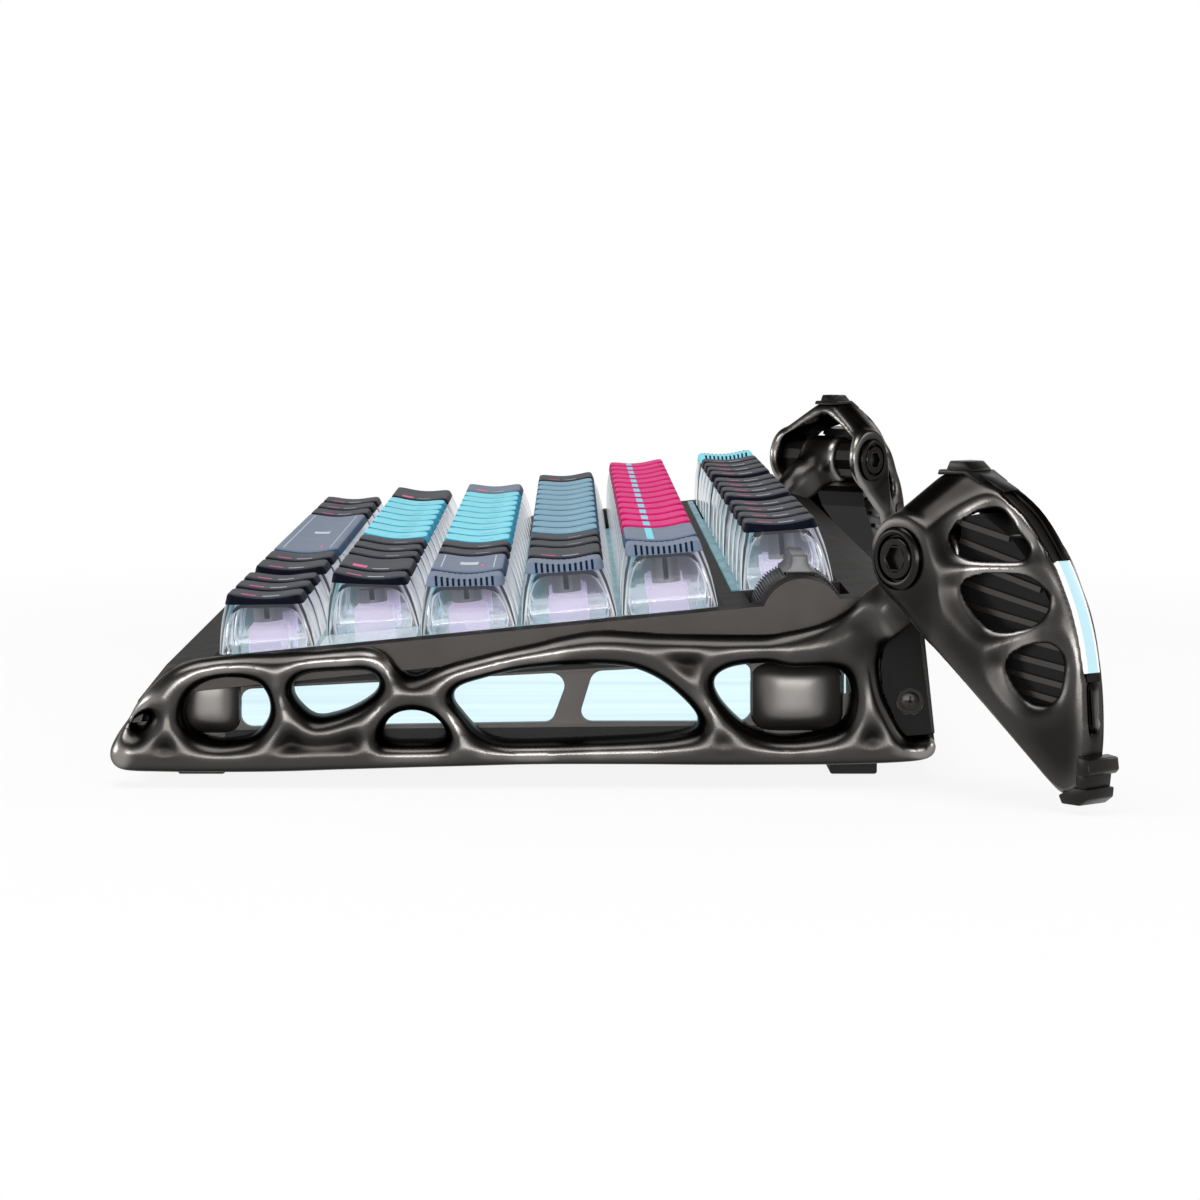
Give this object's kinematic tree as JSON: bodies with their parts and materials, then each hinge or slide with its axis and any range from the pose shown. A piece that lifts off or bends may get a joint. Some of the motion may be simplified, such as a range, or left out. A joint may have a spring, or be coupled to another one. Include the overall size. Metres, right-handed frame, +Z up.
{
  "type": "magnetic switch keyboard",
  "caption": "Compact sloping keyboard with coloured clear-skirted keycaps, a thumb roller, lit openwork side frames and folding rear legs.",
  "frame": {"origin": "on the desk under the middle of the keyboard's bounding box", "axes": "+X to the typist's right, +Y away from the typist, +Z up from the desk"},
  "size_m": [0.4026, 0.1818, 0.0618],
  "materials": {
    "cap_dark": "matte, slightly rough",
    "cap_magenta": "matte",
    "cap_cyan": "matte",
    "cap_teal": "matte",
    "cap_blue_grey": "matte",
    "cap_grey": "matte",
    "housing": "clear, slightly smoked",
    "plate": "fine blasted, dark anodised",
    "board": "dark solder mask",
    "foam": "closed cell foam",
    "inner_plastic": "moulded",
    "wire": "drawn wire",
    "cover": "satin, dark warm grey",
    "cover_plastic": "matte",
    "case": "fine texture",
    "light": "white light diffuser",
    "socket": "drawn shell",
    "rubber": "matte",
    "screw": "blackened",
    "clear": "polished clear",
    "casting": "cast, dark gunmetal, glossy",
    "bolt": "turned",
    "bush": "moulded",
    "core": "smoked",
    "rail": "grooved",
    "clip": "moulded",
    "roller": "knurled"
  },
  "bodies": {
    "case": {"switch_housings": "housing", "switch_plate": "plate", "circuit_board": "board", "plate_gaskets": "foam", "stabilizer_housings": "inner_plastic", "stabilizer_wires": "wire", "top_cover": "cover", "lower_case": "case", "side_diffusers": "light", "rear_cover": "cover_plastic", "cable_socket": "socket", "roller_bracket": "inner_plastic", "rubber_feet": "rubber", "case_screws": "screw", "deck_light_strip": "light", "clear_blank": "clear", "side_frame_right": "casting", "side_frame_left": "casting", "hinge_bolts_right": "bolt", "hinge_bolts_left": "bolt", "hinge_bushes_right": "bush", "hinge_bushes_left": "bush"},
    "key_escape_press": {"key_escape": "cap_cyan"},
    "keys_function_1_to_4_press": {"keys_function_1_to_4": "cap_dark"},
    "keys_function_5_to_8_press": {"keys_function_5_to_8": "cap_dark"},
    "keys_function_9_to_12_press": {"keys_function_9_to_12": "cap_dark"},
    "keys_numbers_press": {"keys_numbers": "cap_magenta"},
    "key_backspace_press": {"key_backspace": "cap_grey"},
    "key_home_press": {"key_home": "cap_blue_grey"},
    "key_tab_press": {"key_tab": "cap_dark"},
    "keys_upper_letters_press": {"keys_upper_letters": "cap_teal"},
    "key_backslash_press": {"key_backslash": "cap_dark"},
    "key_page_up_press": {"key_page_up": "cap_blue_grey"},
    "key_caps_lock_press": {"key_caps_lock": "cap_blue_grey"},
    "keys_home_letters_press": {"keys_home_letters": "cap_cyan"},
    "key_enter_press": {"key_enter": "cap_blue_grey"},
    "key_page_down_press": {"key_page_down": "cap_blue_grey"},
    "key_left_shift_press": {"key_left_shift": "cap_dark"},
    "keys_lower_letters_press": {"keys_lower_letters": "cap_cyan"},
    "key_right_shift_press": {"key_right_shift": "cap_dark"},
    "key_arrow_up_press": {"key_arrow_up": "cap_dark"},
    "keys_left_modifiers_press": {"keys_left_modifiers": "cap_dark"},
    "key_space_press": {"key_space": "cap_blue_grey"},
    "keys_right_modifiers_press": {"keys_right_modifiers": "cap_dark"},
    "keys_arrow_row_press": {"keys_arrow_row": "cap_dark"},
    "roller": {"thumb_roller": "roller", "roller_axle": "bolt"},
    "leg_right": {"leg_shell_right": "casting", "leg_core_right": "core", "leg_light_right": "light", "leg_rail_right": "rail", "leg_clip_right": "clip", "leg_foot_right": "rubber"},
    "leg_left": {"leg_shell_left": "casting", "leg_core_left": "core", "leg_light_left": "light", "leg_rail_left": "rail", "leg_clip_left": "clip", "leg_foot_left": "rubber"}
  },
  "joints": [
    {"name": "key_escape_travel", "type": "slide", "parent": "case", "child": "key_escape_press", "axis": [0, 0.0976, -0.9952], "range_m": [0, 0.0034], "stiffness_N_per_m": 57, "springref_m": -0.0053},
    {"name": "keys_function_1_to_4_travel", "type": "slide", "parent": "case", "child": "keys_function_1_to_4_press", "axis": [0, 0.0976, -0.9952], "range_m": [0, 0.0034], "stiffness_N_per_m": 228, "springref_m": -0.0053},
    {"name": "keys_function_5_to_8_travel", "type": "slide", "parent": "case", "child": "keys_function_5_to_8_press", "axis": [0, 0.0976, -0.9952], "range_m": [0, 0.0034], "stiffness_N_per_m": 228, "springref_m": -0.0053},
    {"name": "keys_function_9_to_12_travel", "type": "slide", "parent": "case", "child": "keys_function_9_to_12_press", "axis": [0, 0.0976, -0.9952], "range_m": [0, 0.0034], "stiffness_N_per_m": 228, "springref_m": -0.0053},
    {"name": "keys_numbers_travel", "type": "slide", "parent": "case", "child": "keys_numbers_press", "axis": [0, 0.0976, -0.9952], "range_m": [0, 0.0034], "stiffness_N_per_m": 741, "springref_m": -0.0053},
    {"name": "key_backspace_travel", "type": "slide", "parent": "case", "child": "key_backspace_press", "axis": [0, 0.0976, -0.9952], "range_m": [0, 0.0034], "stiffness_N_per_m": 57, "springref_m": -0.0053},
    {"name": "key_home_travel", "type": "slide", "parent": "case", "child": "key_home_press", "axis": [0, 0.0976, -0.9952], "range_m": [0, 0.0034], "stiffness_N_per_m": 57, "springref_m": -0.0053},
    {"name": "key_tab_travel", "type": "slide", "parent": "case", "child": "key_tab_press", "axis": [0, 0.0976, -0.9952], "range_m": [0, 0.0034], "stiffness_N_per_m": 57, "springref_m": -0.0053},
    {"name": "keys_upper_letters_travel", "type": "slide", "parent": "case", "child": "keys_upper_letters_press", "axis": [0, 0.0976, -0.9952], "range_m": [0, 0.0034], "stiffness_N_per_m": 684, "springref_m": -0.0053},
    {"name": "key_backslash_travel", "type": "slide", "parent": "case", "child": "key_backslash_press", "axis": [0, 0.0976, -0.9952], "range_m": [0, 0.0034], "stiffness_N_per_m": 57, "springref_m": -0.0053},
    {"name": "key_page_up_travel", "type": "slide", "parent": "case", "child": "key_page_up_press", "axis": [0, 0.0976, -0.9952], "range_m": [0, 0.0034], "stiffness_N_per_m": 57, "springref_m": -0.0053},
    {"name": "key_caps_lock_travel", "type": "slide", "parent": "case", "child": "key_caps_lock_press", "axis": [0, 0.0976, -0.9952], "range_m": [0, 0.0034], "stiffness_N_per_m": 57, "springref_m": -0.0053},
    {"name": "keys_home_letters_travel", "type": "slide", "parent": "case", "child": "keys_home_letters_press", "axis": [0, 0.0976, -0.9952], "range_m": [0, 0.0034], "stiffness_N_per_m": 627, "springref_m": -0.0053},
    {"name": "key_enter_travel", "type": "slide", "parent": "case", "child": "key_enter_press", "axis": [0, 0.0976, -0.9952], "range_m": [0, 0.0034], "stiffness_N_per_m": 57, "springref_m": -0.0053},
    {"name": "key_page_down_travel", "type": "slide", "parent": "case", "child": "key_page_down_press", "axis": [0, 0.0976, -0.9952], "range_m": [0, 0.0034], "stiffness_N_per_m": 57, "springref_m": -0.0053},
    {"name": "key_left_shift_travel", "type": "slide", "parent": "case", "child": "key_left_shift_press", "axis": [0, 0.0976, -0.9952], "range_m": [0, 0.0034], "stiffness_N_per_m": 57, "springref_m": -0.0053},
    {"name": "keys_lower_letters_travel", "type": "slide", "parent": "case", "child": "keys_lower_letters_press", "axis": [0, 0.0976, -0.9952], "range_m": [0, 0.0034], "stiffness_N_per_m": 570, "springref_m": -0.0053},
    {"name": "key_right_shift_travel", "type": "slide", "parent": "case", "child": "key_right_shift_press", "axis": [0, 0.0976, -0.9952], "range_m": [0, 0.0034], "stiffness_N_per_m": 57, "springref_m": -0.0053},
    {"name": "key_arrow_up_travel", "type": "slide", "parent": "case", "child": "key_arrow_up_press", "axis": [0, 0.0976, -0.9952], "range_m": [0, 0.0034], "stiffness_N_per_m": 57, "springref_m": -0.0053},
    {"name": "keys_left_modifiers_travel", "type": "slide", "parent": "case", "child": "keys_left_modifiers_press", "axis": [0, 0.0976, -0.9952], "range_m": [0, 0.0034], "stiffness_N_per_m": 171, "springref_m": -0.0053},
    {"name": "key_space_travel", "type": "slide", "parent": "case", "child": "key_space_press", "axis": [0, 0.0976, -0.9952], "range_m": [0, 0.0034], "stiffness_N_per_m": 57, "springref_m": -0.0053},
    {"name": "keys_right_modifiers_travel", "type": "slide", "parent": "case", "child": "keys_right_modifiers_press", "axis": [0, 0.0976, -0.9952], "range_m": [0, 0.0034], "stiffness_N_per_m": 114, "springref_m": -0.0053},
    {"name": "keys_arrow_row_travel", "type": "slide", "parent": "case", "child": "keys_arrow_row_press", "axis": [0, 0.0976, -0.9952], "range_m": [0, 0.0034], "stiffness_N_per_m": 171, "springref_m": -0.0053},
    {"name": "roller_turn", "type": "hinge", "parent": "case", "child": "roller", "pos_m": [0.1386, 0.0372, 0.0306], "axis": [1, 0, 0], "range_deg": [-30, 30], "stiffness_Nm_per_rad": 0.02},
    {"name": "leg_right_swing", "type": "hinge", "parent": "case", "child": "leg_right", "pos_m": [0.1708, 0.0644, 0.0438], "axis": [0.6428, -0.766, 0], "range_deg": [0, 50]},
    {"name": "leg_left_swing", "type": "hinge", "parent": "case", "child": "leg_left", "pos_m": [-0.1708, 0.0644, 0.0438], "axis": [0.6428, 0.766, 0], "range_deg": [0, 50]}
  ]
}
